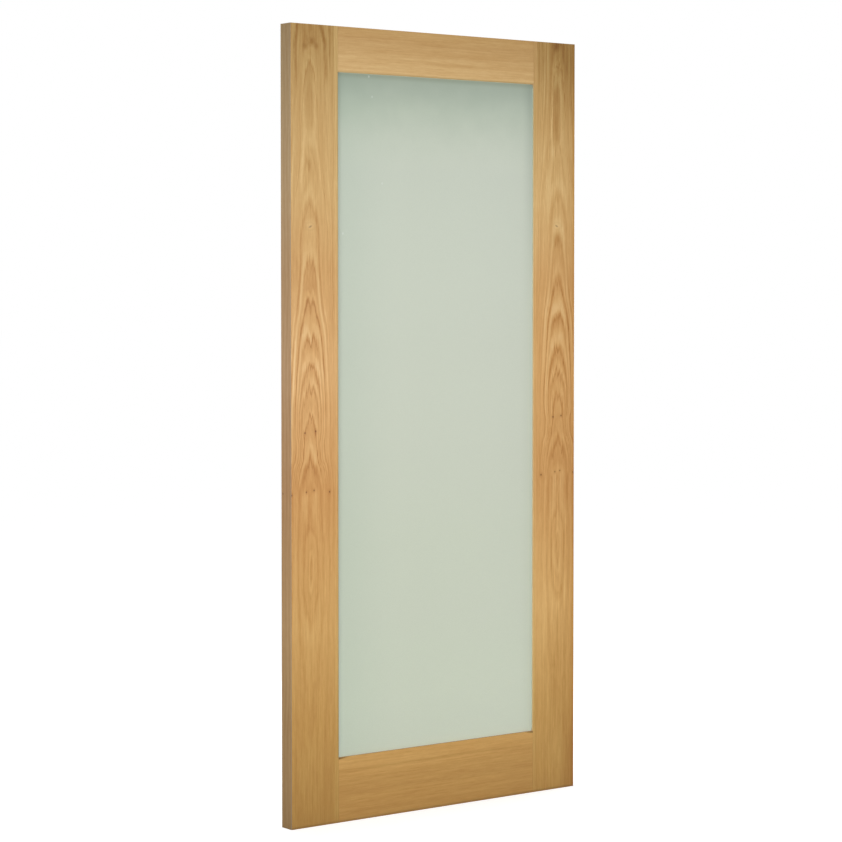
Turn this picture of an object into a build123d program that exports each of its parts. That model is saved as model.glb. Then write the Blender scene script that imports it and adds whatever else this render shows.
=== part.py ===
from build123d import *
import os

# A single glazed interior door leaf of engineered oak: two full-height stiles, a top rail and a
# deeper bottom rail, and one tall frosted pane. Millimetres, +Z up. The origin is on the flat
# hinge edge, at the middle of the leaf's thickness and at its foot. +X runs across the leaf to
# the lock edge and +Y from the face side to the back.

# Leaf
LEAF_WIDTH = 914.0
LEAF_HEIGHT = 1981.0
LEAF_THICKNESS = 44.0
ARRIS = 1.5

# Members, measured over their faces
STILE_WIDTH = 142.0
TOP_RAIL_HEIGHT = 113.0
BOTTOM_RAIL_HEIGHT = 163.0

# Skins and solid lippings over the laminated cores
VENEER_THICKNESS = 0.6
EDGE_LIPPING = 8.0
INNER_LIPPING = 20.0
BORDER_WIDTH = 11.0
JOINT_LINE = 0.5

# Glazing pocket, cut from the back, with a thin lip left at the face
LIP_THICKNESS = 4.0
LIP_WIDTH = 12.0

# Pane and what it sits in
GLASS_THICKNESS = 6.0
GLASS_CLEARANCE = 3.0
TAPE_THICKNESS = 1.0
TAPE_PROUD = 0.5
BLOCK_LENGTH = 100.0
BLOCK_SHARE = 0.25

# Loose beads that hold the pane from the back
BEAD_SET_BACK = 1.0
BEAD_QUIRK = 1.0
BEAD_FLAT = 3.0

# Dowelled corner joints
DOWEL_DIAMETER = 12.0
DOWEL_LENGTH = 120.0
DOWEL_CLEARANCE = 0.1
DOWEL_END_CLEARANCE = 0.5
TOP_RAIL_DOWELS = 2
BOTTOM_RAIL_DOWELS = 3

# Places that follow from the sizes above
FACE = -LEAF_THICKNESS / 2
BACK = LEAF_THICKNESS / 2
SIGHT_X = (STILE_WIDTH, LEAF_WIDTH - STILE_WIDTH)
SIGHT_Z = (BOTTOM_RAIL_HEIGHT, LEAF_HEIGHT - TOP_RAIL_HEIGHT)
CORE_Y = (FACE + VENEER_THICKNESS, BACK - VENEER_THICKNESS)
FACE_SKIN_Y = (FACE, FACE + VENEER_THICKNESS)
BACK_SKIN_Y = (BACK - VENEER_THICKNESS, BACK)
FRONT_TAPE_Y = FACE + LIP_THICKNESS
GLASS_Y = FRONT_TAPE_Y + TAPE_THICKNESS
BACK_TAPE_Y = GLASS_Y + GLASS_THICKNESS
BEAD_Y = (BACK_TAPE_Y + TAPE_THICKNESS, BACK - BEAD_SET_BACK)


def grown(limits, amount):
    """A pair of limits moved apart by the same amount at each end."""
    return limits[0] - amount, limits[1] + amount


POCKET_X = grown(SIGHT_X, LIP_WIDTH)
POCKET_Z = grown(SIGHT_Z, LIP_WIDTH)
PANE_X = grown(POCKET_X, -GLASS_CLEARANCE)
PANE_Z = grown(POCKET_Z, -GLASS_CLEARANCE)


def slab(x, y, z):
    """A block between three pairs of limits."""
    sizes = [high - low for low, high in (x, y, z)]
    middles = [(high + low) / 2 for low, high in (x, y, z)]
    return Pos(*middles) * Box(*sizes)


def upright_panel(x, z):
    """A rectangle standing in the XZ plane, facing the back."""
    middle = Pos((x[0] + x[1]) / 2, 0, (z[0] + z[1]) / 2)
    return middle * (Plane.ZX * Rectangle(z[1] - z[0], x[1] - x[0]))


def leaf_blank():
    """The finished outline of the leaf, with its four long outer edges eased."""
    section = chamfer(Rectangle(LEAF_WIDTH, LEAF_THICKNESS).vertices(), ARRIS)
    return extrude(Pos(LEAF_WIDTH / 2, 0) * section, LEAF_HEIGHT)


def glazing_pocket():
    """The space cut from the back once the frame is glued up."""
    return slab(POCKET_X, (FRONT_TAPE_Y, BACK), POCKET_Z)


def on_lock_side(part):
    """The same piece on the other side of the leaf."""
    return mirror(part, Plane.YZ.offset(LEAF_WIDTH / 2))


def dowel_places():
    """Where the dowels of the hinge side's joints cross the joint line."""
    top_core = (SIGHT_Z[1] + INNER_LIPPING, LEAF_HEIGHT)
    bottom_core = (0, SIGHT_Z[0] - INNER_LIPPING)
    places = []
    for (low, high), count in ((top_core, TOP_RAIL_DOWELS), (bottom_core, BOTTOM_RAIL_DOWELS)):
        pitch = (high - low) / count
        for index in range(count):
            places.append(Pos(STILE_WIDTH, 0, low + pitch * (index + 0.5)))
    return places


def dowels(clearance, end_clearance):
    """Round pins along X at every joint of the hinge side."""
    pin = Cylinder(DOWEL_DIAMETER / 2 + clearance, DOWEL_LENGTH + 2 * end_clearance)
    return [place * (Rot(0, 90, 0) * pin) for place in dowel_places()]


BLANK = leaf_blank()
POCKET = glazing_pocket()
DOWEL_HOLES = dowels(DOWEL_CLEARANCE, DOWEL_END_CLEARANCE)
FULL_HEIGHT = (0, LEAF_HEIGHT)
RAIL_X = SIGHT_X
RAIL_SKIN_X = grown(RAIL_X, -JOINT_LINE)
TOP_RAIL_Z = (SIGHT_Z[1], LEAF_HEIGHT)
BOTTOM_RAIL_Z = (0, SIGHT_Z[0])


def stile_core():
    """Laminated core between the two lippings."""
    core = slab((EDGE_LIPPING, STILE_WIDTH - INNER_LIPPING), CORE_Y, FULL_HEIGHT)
    return core - DOWEL_HOLES


def stile_edge_lipping():
    """Solid oak strip that forms the outer edge, under the edges of both skins."""
    return slab((0, EDGE_LIPPING), CORE_Y, FULL_HEIGHT) & BLANK


def stile_inner_lipping():
    """Solid oak strip that shows as a border beside the skins and carries the lip."""
    hidden = slab((STILE_WIDTH - INNER_LIPPING, STILE_WIDTH), CORE_Y, FULL_HEIGHT)
    border = slab((STILE_WIDTH - BORDER_WIDTH, STILE_WIDTH), (FACE, BACK), FULL_HEIGHT)
    return (hidden + border) - POCKET - DOWEL_HOLES


def stile_skin(y):
    """Thin oak veneer from the outer arris to the border."""
    return (slab((0, STILE_WIDTH - BORDER_WIDTH), y, FULL_HEIGHT) & BLANK) - POCKET


def rail_core(z):
    """Laminated core between the stiles, drilled for the dowels at both ends."""
    core = slab(RAIL_X, CORE_Y, z)
    return core - DOWEL_HOLES - [on_lock_side(hole) for hole in DOWEL_HOLES]


def rail_lipping(z):
    """Solid oak strip along the light, with the lip left by the pocket."""
    return slab(RAIL_X, CORE_Y, z) - POCKET


def rail_skin(y, z):
    """Thin oak veneer over a rail, a hair short of the stiles."""
    return slab(RAIL_SKIN_X, y, z) - POCKET


def glass_pane():
    return extrude(Pos(0, GLASS_Y, 0) * upright_panel(PANE_X, PANE_Z), GLASS_THICKNESS)


def glazing_tape(y):
    """A thin soft ring between the pane and the wood, just proud of the sight line."""
    hole = upright_panel(grown(SIGHT_X, -TAPE_PROUD), grown(SIGHT_Z, -TAPE_PROUD))
    ring = upright_panel(PANE_X, PANE_Z) - hole
    return extrude(Pos(0, y, 0) * ring, TAPE_THICKNESS)


def setting_blocks():
    """Two small blocks that carry the pane's weight on the bottom rail."""
    z = (POCKET_Z[0], PANE_Z[0])
    blocks = []
    for share in (BLOCK_SHARE, 1 - BLOCK_SHARE):
        middle = PANE_X[0] + share * (PANE_X[1] - PANE_X[0])
        x = grown((middle, middle), BLOCK_LENGTH / 2)
        blocks.append(slab(x, (GLASS_Y, GLASS_Y + GLASS_THICKNESS), z))
    return Compound(children=blocks)


def bead_section():
    """Ovolo section, drawn with the depth of the leaf across and the bead's width up."""
    front, back = BEAD_Y
    radius = LIP_WIDTH - BEAD_QUIRK - BEAD_FLAT
    round_start = (back - BEAD_QUIRK, BEAD_FLAT)
    round_end = (back - BEAD_QUIRK - radius, BEAD_FLAT + radius)
    outline = Polyline(
        round_end,
        (round_end[0], LIP_WIDTH),
        (front, LIP_WIDTH),
        (front, 0),
        (back, 0),
        (back, BEAD_FLAT),
        round_start,
    )
    ovolo = CenterArc((round_end[0], round_start[1]), radius, 0, 90)
    return make_face(outline + ovolo)


def glazing_bead(length):
    """One bead standing on the pocket's wall, mitred at both ends."""
    bar = extrude(Plane.YZ * bead_section(), length)
    plan = Plane.XZ * Polygon(
        (0, 0), (length, 0), (length - LIP_WIDTH, LIP_WIDTH), (LIP_WIDTH, LIP_WIDTH), align=None
    )
    return bar & extrude(plan, LEAF_THICKNESS, both=True)


def glazing_beads():
    """The four beads, turned into place round the pocket."""
    width = POCKET_X[1] - POCKET_X[0]
    height = POCKET_Z[1] - POCKET_Z[0]
    return {
        "bottom_glazing_bead": Pos(POCKET_X[0], 0, POCKET_Z[0]) * glazing_bead(width),
        "top_glazing_bead": Pos(POCKET_X[1], 0, POCKET_Z[1]) * Rot(0, 180, 0) * glazing_bead(width),
        "hinge_side_glazing_bead": Pos(POCKET_X[0], 0, POCKET_Z[1]) * Rot(0, 90, 0) * glazing_bead(height),
        "lock_side_glazing_bead": Pos(POCKET_X[1], 0, POCKET_Z[0]) * Rot(0, -90, 0) * glazing_bead(height),
    }


def stile_parts():
    """Both stiles, the lock stile as the mirror of the hinge stile."""
    hinge_side = {
        "stile_core": stile_core(),
        "edge_lipping": stile_edge_lipping(),
        "stile_inner_lipping": stile_inner_lipping(),
        "stile_front_veneer": stile_skin(FACE_SKIN_Y),
        "stile_back_veneer": stile_skin(BACK_SKIN_Y),
    }
    parts = {}
    for name, solid in hinge_side.items():
        parts["hinge_" + name] = solid
        parts["lock_" + name] = on_lock_side(solid)
    return parts


def rail_parts():
    """Both rails, each a core, one lipping along the light and two skins."""
    top_split = TOP_RAIL_Z[0] + INNER_LIPPING
    bottom_split = BOTTOM_RAIL_Z[1] - INNER_LIPPING
    return {
        "top_rail_core": rail_core((top_split, TOP_RAIL_Z[1])),
        "top_rail_lipping": rail_lipping((TOP_RAIL_Z[0], top_split)),
        "top_rail_front_veneer": rail_skin(FACE_SKIN_Y, TOP_RAIL_Z),
        "top_rail_back_veneer": rail_skin(BACK_SKIN_Y, TOP_RAIL_Z),
        "bottom_rail_core": rail_core((BOTTOM_RAIL_Z[0], bottom_split)),
        "bottom_rail_lipping": rail_lipping((bottom_split, BOTTOM_RAIL_Z[1])),
        "bottom_rail_front_veneer": rail_skin(FACE_SKIN_Y, BOTTOM_RAIL_Z),
        "bottom_rail_back_veneer": rail_skin(BACK_SKIN_Y, BOTTOM_RAIL_Z),
    }


def joint_dowels():
    """All the dowels of the four corner joints, each a solid of its own."""
    pins = dowels(0, 0)
    return Compound(children=pins + [on_lock_side(pin) for pin in pins])


def all_parts():
    parts = stile_parts() | rail_parts() | glazing_beads()
    parts["glass_pane"] = glass_pane()
    parts["front_glazing_tape"] = glazing_tape(FRONT_TAPE_Y)
    parts["back_glazing_tape"] = glazing_tape(BACK_TAPE_Y)
    parts["setting_blocks"] = setting_blocks()
    parts["joint_dowels"] = joint_dowels()
    return parts


os.makedirs("parts", exist_ok=True)
for name, solid in all_parts().items():
    export_step(solid, f"parts/{name}.step")
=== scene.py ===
import math

import bpy
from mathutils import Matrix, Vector


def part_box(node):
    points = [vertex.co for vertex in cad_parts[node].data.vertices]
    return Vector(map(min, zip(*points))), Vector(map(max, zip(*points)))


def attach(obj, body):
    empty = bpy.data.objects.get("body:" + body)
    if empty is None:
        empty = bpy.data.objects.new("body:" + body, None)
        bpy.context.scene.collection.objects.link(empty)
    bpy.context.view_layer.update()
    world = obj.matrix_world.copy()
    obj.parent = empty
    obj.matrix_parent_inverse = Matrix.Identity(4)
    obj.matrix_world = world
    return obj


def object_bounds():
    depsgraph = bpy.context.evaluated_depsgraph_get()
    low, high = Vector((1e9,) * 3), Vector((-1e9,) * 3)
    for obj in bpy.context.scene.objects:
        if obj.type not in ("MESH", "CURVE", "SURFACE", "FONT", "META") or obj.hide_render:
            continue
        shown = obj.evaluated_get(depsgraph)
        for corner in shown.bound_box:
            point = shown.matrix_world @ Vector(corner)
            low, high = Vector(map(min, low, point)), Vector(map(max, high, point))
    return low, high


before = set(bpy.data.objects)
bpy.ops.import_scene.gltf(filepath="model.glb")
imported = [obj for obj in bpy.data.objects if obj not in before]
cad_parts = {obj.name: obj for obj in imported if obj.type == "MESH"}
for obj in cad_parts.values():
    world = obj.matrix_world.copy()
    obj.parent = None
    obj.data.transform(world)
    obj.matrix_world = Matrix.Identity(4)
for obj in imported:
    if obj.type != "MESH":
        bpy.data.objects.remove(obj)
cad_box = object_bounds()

# The leaf's own sizes, read from the frame in metres
LEAF_LOW, LEAF_HIGH = Vector(cad_box[0]), Vector(cad_box[1])
MM = 1000.0
LEAF_WIDTH = LEAF_HIGH.x * MM
LEAF_HEIGHT = LEAF_HIGH.z * MM
HALF_THICKNESS = LEAF_HIGH.y * MM
SIGHT_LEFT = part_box("top_rail_core")[0].x * MM
SIGHT_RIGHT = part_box("top_rail_core")[1].x * MM
SIGHT_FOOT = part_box("bottom_rail_front_veneer")[1].z * MM
SIGHT_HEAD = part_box("top_rail_front_veneer")[0].z * MM

# Camera, fitted to the photograph's corners
CAMERA_PLACE = (-3.4710, -5.1086, 1.3338)
CAMERA_YAW = math.radians(37.271)
CAMERA_PITCH = math.radians(-2.064)
FOCAL_PIXELS = 2514.6
PHOTO_PIXELS = 842
SENSOR_MM = 36.0
SHIFT_PIXELS = -42.0

# The face veneers' flames: the height in millimetres where each growth ring tops out on the middle line
FLAME_CENTRE = 58.0
FLAMES = {
    "hinge": (
        (780.0, 0.2), (850.0, 0.6), (888.0, 1.0), (1007.0, 2.0), (1072.0, 3.0), (1130.0, 4.0), (1207.0, 5.0),
        (1300.0, 6.0), (1392.0, 7.0), (1517.0, 8.0), (1655.0, 9.0), (1700.0, 9.5), (1835.0, 9.66),
        (1866.0, 10.0), (1935.0, 11.0), (2160.0, 12.0), (2285.0, 13.0), (2390.0, 14.0), (2490.0, 15.0),
        (2600.0, 16.0), (3300.0, 18.5),
    ),
    "lock": (
        (780.0, 0.2), (872.0, 0.6), (914.0, 1.0), (1033.0, 2.0), (1103.0, 3.0), (1160.0, 4.0), (1250.0, 5.0),
        (1338.0, 6.0), (1448.0, 7.0), (1556.0, 8.0), (1690.0, 9.0), (1735.0, 9.5), (1890.0, 9.66),
        (1915.0, 10.0), (1962.0, 11.0), (2180.0, 12.0), (2300.0, 13.0), (2400.0, 14.0), (2500.0, 15.0),
        (2610.0, 16.0), (3300.0, 18.5),
    ),
}
# How far below its top a ring is found, that many millimetres to the side
FLAME_FALL = (
    (0.0, 0.0), (6.0, 3.0), (10.0, 11.0), (15.0, 27.0), (20.0, 48.0), (25.0, 80.0), (30.0, 126.0),
    (37.0, 210.0), (47.0, 345.0), (57.0, 490.0), (70.0, 800.0), (84.0, 1300.0),
)
HEAD_CALM = {"hinge": 0.35, "lock": 0.0}
FLAME_FOOT = (
    (0.0, 2.6), (240.0, 2.2), (430.0, 1.7), (560.0, 0.8), (640.0, 0.1), (700.0, 0.6), (760.0, 1.2),
    (810.0, 1.3), (900.0, 0.5),
)
FOOT_STRANDS = {"hinge": 1.1, "lock": 2.4}
FOOT_NARROWING = 17.0
FOOT_POWER = 2.3
FLAME_CONTRAST = (
    (0.0, 0.26), (400.0, 0.32), (650.0, 0.44), (820.0, 0.6), (870.0, 0.95), (1000.0, 0.98), (1320.0, 0.88),
    (1420.0, 0.65), (1620.0, 0.6), (1800.0, 0.62), (1981.0, 0.66),
)
# The arches' waists: above 1 they're drawn in at that height, below 1 they flare
FLAME_SPREAD = (
    (0.0, 0.84), (830.0, 0.84), (861.0, 0.9), (896.0, 1.03), (929.0, 1.26), (965.0, 1.1), (1010.0, 0.94),
    (1100.0, 0.85), (1185.0, 0.86), (1260.0, 1.04), (1350.0, 1.18), (1430.0, 1.08), (1500.0, 0.97),
    (1570.0, 1.1), (1650.0, 1.26), (1760.0, 1.24), (1880.0, 1.04), (1981.0, 0.9),
)
SIDE_SHIFT = {"hinge": 0.0, "lock": 36.0}
# How much darker or paler the wood is along the rings' own numbers
RING_TONES = (
    (0.0, 0.0), (4.2, 0.02), (4.6, -0.08), (5.0, 0.06), (5.3, -0.05), (5.6, -0.15), (5.9, -0.03), (6.3, 0.12),
    (6.9, 0.08), (7.15, -0.1), (7.45, -0.3), (7.75, -0.14), (8.2, 0.0), (8.7, 0.0), (9.4, -0.1), (10.0, 0.04),
    (11.0, 0.0), (12.0, 0.05), (12.5, -0.1), (13.0, 0.05), (13.5, -0.1), (18.5, 0.0),
)
# The closed figure near the head: its middle, its half sizes, how far it lifts the rings, and how pale its
# outline and how dark its inside are
LOOPS = {
    "hinge": dict(
        middle=56.0, level=1800.0, half_width=16.0, half_height=112.0, lift=0.12, pale=0.3, dark=0.3
    ),
    "lock": dict(
        middle=64.0, level=1796.0, half_width=17.0, half_height=118.0, lift=0.3, pale=0.45, dark=0.35
    ),
}
LOOP_POWER = 3.0
CREST_DIPS = {"hinge": 0.36, "lock": 0.08}
# Soft strokes: distance from the edge at the low and the high end, the two heights, the half width, and how
# dark, below 0 for a pale one
HEAD_STROKES = {
    "hinge": (
        (17.0, 14.0, 1840.0, 1925.0, 8.0, 0.5), (14.0, 28.0, 1925.0, 2020.0, 9.0, 0.75),
        (107.0, 103.0, 1850.0, 1925.0, 8.0, 0.55), (103.0, 80.0, 1925.0, 2020.0, 10.0, 0.85),
        (117.0, 117.0, 1890.0, 2020.0, 5.0, 0.5), (34.0, 34.0, 1860.0, 1960.0, 7.0, -0.4),
        (75.0, 76.0, 1790.0, 1870.0, 6.0, -0.35), (31.0, 39.0, 1580.0, 1700.0, 7.0, -0.7),
        (89.0, 75.0, 1600.0, 1710.0, 7.0, -0.6), (5.0, 5.0, 1540.0, 1660.0, 6.0, -0.35),
        (9.0, 9.0, 1060.0, 1330.0, 10.0, -0.5), (8.0, 8.0, 430.0, 830.0, 9.0, -0.3),
        (42.0, 42.0, 1730.0, 1860.0, 7.0, 0.2),
    ),
    "lock": (
        (28.0, 27.0, 1900.0, 2020.0, 7.0, 0.5), (41.0, 40.0, 1930.0, 2020.0, 5.0, 0.35),
        (97.0, 94.0, 1830.0, 2020.0, 9.0, -0.2), (112.0, 112.0, 1880.0, 2020.0, 6.0, 0.4),
        (42.0, 42.0, 1740.0, 1860.0, 8.0, 0.2), (78.0, 78.0, 1740.0, 1860.0, 7.0, -0.25),
        (60.0, 60.0, 1890.0, 1975.0, 8.0, 0.25),
        (124.0, 124.0, 1880.0, 2020.0, 4.0, 0.3), (86.0, 82.0, 1540.0, 1700.0, 6.0, -0.4),
        (44.0, 48.0, 1560.0, 1690.0, 5.0, -0.4), (26.0, 30.0, 1600.0, 1720.0, 6.0, -0.2),
    ),
}
# Distance from the edge, height and radius
FACE_KNOTS = {
    "hinge": (
        (41.4, 978.0, 3.4), (73.5, 981.5, 3.6), (45.5, 832.0, 2.8), (68.5, 835.5, 2.8), (115.3, 830.0, 3.2),
        (2.0, 826.0, 2.4),
    ),
    "lock": (
        (46.6, 996.0, 3.4), (74.4, 993.5, 3.6), (50.5, 850.0, 2.6), (67.5, 847.5, 2.6), (115.5, 841.5, 3.4),
        (4.1, 844.0, 3.0),
    ),
}
# Painted shade toward the leaf's head, partly the wood's own olive tone: its tint, its share on each stile,
# and how far it leans darker toward the lock stile's outer edge
HEAD_SHADE_TINT = (0.69, 0.65, 0.49, 1.0)
HEAD_SHADES = {"hinge": 0.6, "lock": 1.0}
HEAD_LEAN = {"hinge": 0.0, "lock": 0.5}
EYE_KNOTS = {"hinge": (57.4, 1486.0), "lock": (62.0, 1499.0)}
# Distance from the edge, height, radius, stretch along the grain and share
SMUDGES = {
    "hinge": ((62.0, 1938.0, 20.0, 0.9, 1.0), (44.0, 1926.0, 14.0, 1.0, 0.8), (77.0, 1928.0, 11.0, 1.2, 0.55),
              (55.0, 1640.0, 12.0, 2.4, 0.6)),
    "lock": ((65.0, 1974.0, 22.0, 1.1, 0.95), (64.0, 1840.0, 14.0, 2.6, 0.25), (64.0, 1765.0, 9.0, 6.0, 0.4),
             (56.0, 1462.0, 20.0, 1.7, 0.4), (70.0, 1462.0, 18.0, 1.7, 0.35)),
}


def srgb(red, green, blue):
    """A colour as it looks on a screen, from 0 to 255, as the linear values that nodes take."""
    values = []
    for part in (red, green, blue):
        part /= 255.0
        values.append(part / 12.92 if part <= 0.04045 else ((part + 0.055) / 1.055) ** 2.4)
    return (*values, 1.0)


class Field:
    """A number that varies over a surface. Arithmetic on it adds math nodes."""

    def __init__(self, graph, socket):
        self.graph = graph
        self.socket = socket

    def __add__(self, other):
        return self.graph.math("ADD", self, other)

    def __sub__(self, other):
        return self.graph.math("SUBTRACT", self, other)

    def __rsub__(self, other):
        return self.graph.math("SUBTRACT", other, self)

    def __mul__(self, other):
        return self.graph.math("MULTIPLY", self, other)

    def __truediv__(self, other):
        return self.graph.math("DIVIDE", self, other)

    def __abs__(self):
        return self.graph.math("ABSOLUTE", self, 0.0)

    def root(self):
        return self.graph.math("SQRT", self, 0.0)

    def fraction(self):
        return self.graph.math("FRACT", self, 0.0)

    def power(self, exponent):
        return self.graph.math("POWER", self, exponent)

    def smooth(self, low, high):
        """0 below low, 1 above high and an even step between; low may be the larger."""
        return self.graph.smooth(self, low, high)


class Graph:
    """Builds one material's nodes."""

    def __init__(self, name):
        self.material = bpy.data.materials.new(name)
        self.material.use_nodes = True
        self.tree = self.material.node_tree
        self.tree.nodes.clear()
        self.output = self.tree.nodes.new("ShaderNodeOutputMaterial")

    def feed(self, socket, value):
        """Links a field or sets a constant."""
        if isinstance(value, Field):
            self.tree.links.new(value.socket, socket)
        else:
            socket.default_value = value

    def math(self, operation, first, second):
        node = self.tree.nodes.new("ShaderNodeMath")
        node.operation = operation
        self.feed(node.inputs[0], first)
        self.feed(node.inputs[1], second)
        return Field(self, node.outputs[0])

    def place(self):
        """Where a point is on the object, in millimetres."""
        source = self.tree.nodes.new("ShaderNodeTexCoord")
        split = self.tree.nodes.new("ShaderNodeSeparateXYZ")
        self.tree.links.new(source.outputs["Object"], split.inputs[0])
        return [Field(self, output) * MM for output in split.outputs]

    def facing(self):
        """The surface's own direction, as three numbers from -1 to 1."""
        source = self.tree.nodes.new("ShaderNodeTexCoord")
        split = self.tree.nodes.new("ShaderNodeSeparateXYZ")
        self.tree.links.new(source.outputs["Normal"], split.inputs[0])
        return [Field(self, output) for output in split.outputs]

    def noise(self, x, y, z, detail=2.0, roughness=0.5):
        """Smooth noise from about -0.5 to 0.5 with one bump for each unit of x, y and z."""
        join = self.tree.nodes.new("ShaderNodeCombineXYZ")
        for socket, value in zip(join.inputs, (x, y, z)):
            self.feed(socket, value)
        node = self.tree.nodes.new("ShaderNodeTexNoise")
        node.inputs["Scale"].default_value = 1.0
        node.inputs["Detail"].default_value = detail
        node.inputs["Roughness"].default_value = roughness
        self.tree.links.new(join.outputs[0], node.inputs["Vector"])
        return Field(self, node.outputs["Fac"]) - 0.5

    def smooth(self, value, low, high):
        node = self.tree.nodes.new("ShaderNodeMapRange")
        node.interpolation_type = "SMOOTHSTEP"
        backwards = low > high
        self.feed(node.inputs["Value"], value)
        node.inputs["From Min"].default_value = min(low, high)
        node.inputs["From Max"].default_value = max(low, high)
        node.inputs["To Min"].default_value = 1.0 if backwards else 0.0
        node.inputs["To Max"].default_value = 0.0 if backwards else 1.0
        return Field(self, node.outputs["Result"])

    def curve(self, value, points):
        """A smooth curve through a few chosen points of (place, value)."""
        places = [place for place, _ in points]
        values = [height for _, height in points]
        low, span = places[0], places[-1] - places[0]
        floor, reach = min(values), max(values) - min(values)
        node = self.tree.nodes.new("ShaderNodeFloatCurve")
        line = node.mapping.curves[0]
        while len(line.points) < len(points):
            line.points.new(0.5, 0.5)
        for point, (place, height) in zip(line.points, points):
            point.location = ((place - low) / span, (height - floor) / reach)
            point.handle_type = "AUTO_CLAMPED"
        node.mapping.update()
        self.feed(node.inputs["Value"], (value - low) / span)
        return Field(self, node.outputs["Value"]) * reach + floor

    def ramp(self, value, stops):
        """A colour along a few named stops."""
        node = self.tree.nodes.new("ShaderNodeValToRGB")
        elements = node.color_ramp.elements
        while len(elements) < len(stops):
            elements.new(0.5)
        for element, (place, colour) in zip(elements, stops):
            element.position = place
            element.color = colour
        self.feed(node.inputs["Fac"], value)
        return Field(self, node.outputs["Color"])

    def mix(self, share, first, second, kind="MIX"):
        """Two colours mixed by a share from 0 to 1."""
        node = self.tree.nodes.new("ShaderNodeMix")
        node.data_type = "RGBA"
        node.blend_type = kind
        node.clamp_factor = True
        self.feed(node.inputs["Factor"], share)
        self.feed(node.inputs[6], first)
        self.feed(node.inputs[7], second)
        return Field(self, node.outputs[2])

    def stain(self, share, colour, tint):
        """A colour with part of a tint laid over it; a tint above 1 bleaches."""
        return self.mix(share, colour, self.mix(1.0, colour, tint, "MULTIPLY"))

    def bump(self, height, distance):
        node = self.tree.nodes.new("ShaderNodeBump")
        node.inputs["Strength"].default_value = 1.0
        node.inputs["Distance"].default_value = distance
        self.feed(node.inputs["Height"], height)
        return Field(self, node.outputs["Normal"])

    def surface(self, colour, roughness, normal=None, **more):
        """Ends the material with one Principled shader."""
        node = self.tree.nodes.new("ShaderNodeBsdfPrincipled")
        self.feed(node.inputs["Base Color"], colour)
        self.feed(node.inputs["Roughness"], roughness)
        if normal is not None:
            self.feed(node.inputs["Normal"], normal)
        for name, value in more.items():
            self.feed(node.inputs[name.replace("_", " ")], value)
        self.tree.links.new(node.outputs["BSDF"], self.output.inputs["Surface"])
        return self.material


def dot(across, along, place, radius, stretch=1.0):
    """1 at a named place and 0 beyond the radius, longer along the grain by stretch."""
    away = (across - place[0]) * (across - place[0])
    along_away = (along - place[1]) / stretch
    return (away + along_away * along_away).root().smooth(radius, 0.0)


# Oak

OAK_STOPS = (
    (0.0, srgb(234, 198, 148)), (0.28, srgb(224, 182, 128)), (0.5, srgb(213, 167, 112)),
    (0.78, srgb(197, 147, 90)), (1.0, srgb(174, 120, 62)),
)
STAIN = (0.62, 0.46, 0.21, 1.0)
BLEACH = (1.22, 1.32, 1.5, 1.0)
KNOT_TINT = (0.26, 0.14, 0.09, 1.0)
LID_PALE = srgb(230, 194, 134)
# The wood's tone from foot to head, as shares of the leaf's height: partly its own hue, partly painted light
# and shade
TONES_AND_SHADE = {
    "rail": (
        (0.0, (0.95, 0.88, 0.565, 1.0)), (0.02, (0.96, 0.885, 0.575, 1.0)), (0.045, (0.97, 0.905, 0.60, 1.0)),
        (0.08, (1.15, 1.12, 0.80, 1.0)), (0.25, (1.03, 1.01, 0.80, 1.0)), (0.42, (0.95, 0.85, 0.66, 1.0)),
        (0.57, (1.02, 0.97, 0.85, 1.0)), (0.69, (0.97, 0.925, 0.79, 1.0)), (0.80, (1.01, 1.06, 0.96, 1.0)),
        (0.945, (1.13, 1.25, 1.26, 1.0)), (0.96, (1.06, 1.14, 1.10, 1.0)), (0.97, (1.0, 1.05, 0.98, 1.0)),
        (0.985, (0.96, 0.995, 0.91, 1.0)), (1.0, (0.93, 0.945, 0.80, 1.0)),
    ),
    "hinge": (
        (0.0, (0.845, 0.785, 0.46, 1.0)), (0.12, (0.95, 0.88, 0.555, 1.0)), (0.25, (1.08, 1.045, 0.78, 1.0)),
        (0.42, (0.94, 0.80, 0.575, 1.0)), (0.57, (1.05, 1.0, 0.88, 1.0)), (0.69, (0.92, 0.855, 0.68, 1.0)),
        (0.80, (0.98, 1.02, 0.885, 1.0)), (0.91, (0.93, 0.975, 0.835, 1.0)), (1.0, (0.93, 0.96, 0.80, 1.0)),
    ),
    "lock": (
        (0.0, (0.92, 0.855, 0.51, 1.0)), (0.12, (1.02, 0.975, 0.65, 1.0)), (0.25, (1.21, 1.205, 0.965, 1.0)),
        (0.42, (0.965, 0.85, 0.65, 1.0)), (0.57, (1.02, 0.945, 0.775, 1.0)),
        (0.69, (0.955, 0.89, 0.735, 1.0)), (0.80, (1.06, 1.125, 1.03, 1.0)),
        (0.91, (0.91, 0.925, 0.765, 1.0)), (1.0, (0.92, 0.925, 0.785, 1.0)),
    ),
    # The edge's ramp is darker: painted shade on the narrow side turned from the lamps
    "edge": (
        (0.0, (0.61, 0.54, 0.28, 1.0)), (0.06, (0.76, 0.70, 0.435, 1.0)), (0.13, (0.785, 0.715, 0.45, 1.0)),
        (0.25, (0.98, 0.93, 0.705, 1.0)), (0.42, (0.94, 0.82, 0.625, 1.0)), (0.57, (1.04, 0.99, 0.875, 1.0)),
        (0.69, (0.955, 0.905, 0.76, 1.0)), (0.80, (1.03, 1.08, 0.98, 1.0)), (0.91, (0.95, 1.02, 0.905, 1.0)),
        (1.0, (0.81, 0.84, 0.69, 1.0)),
    ),
}


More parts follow.
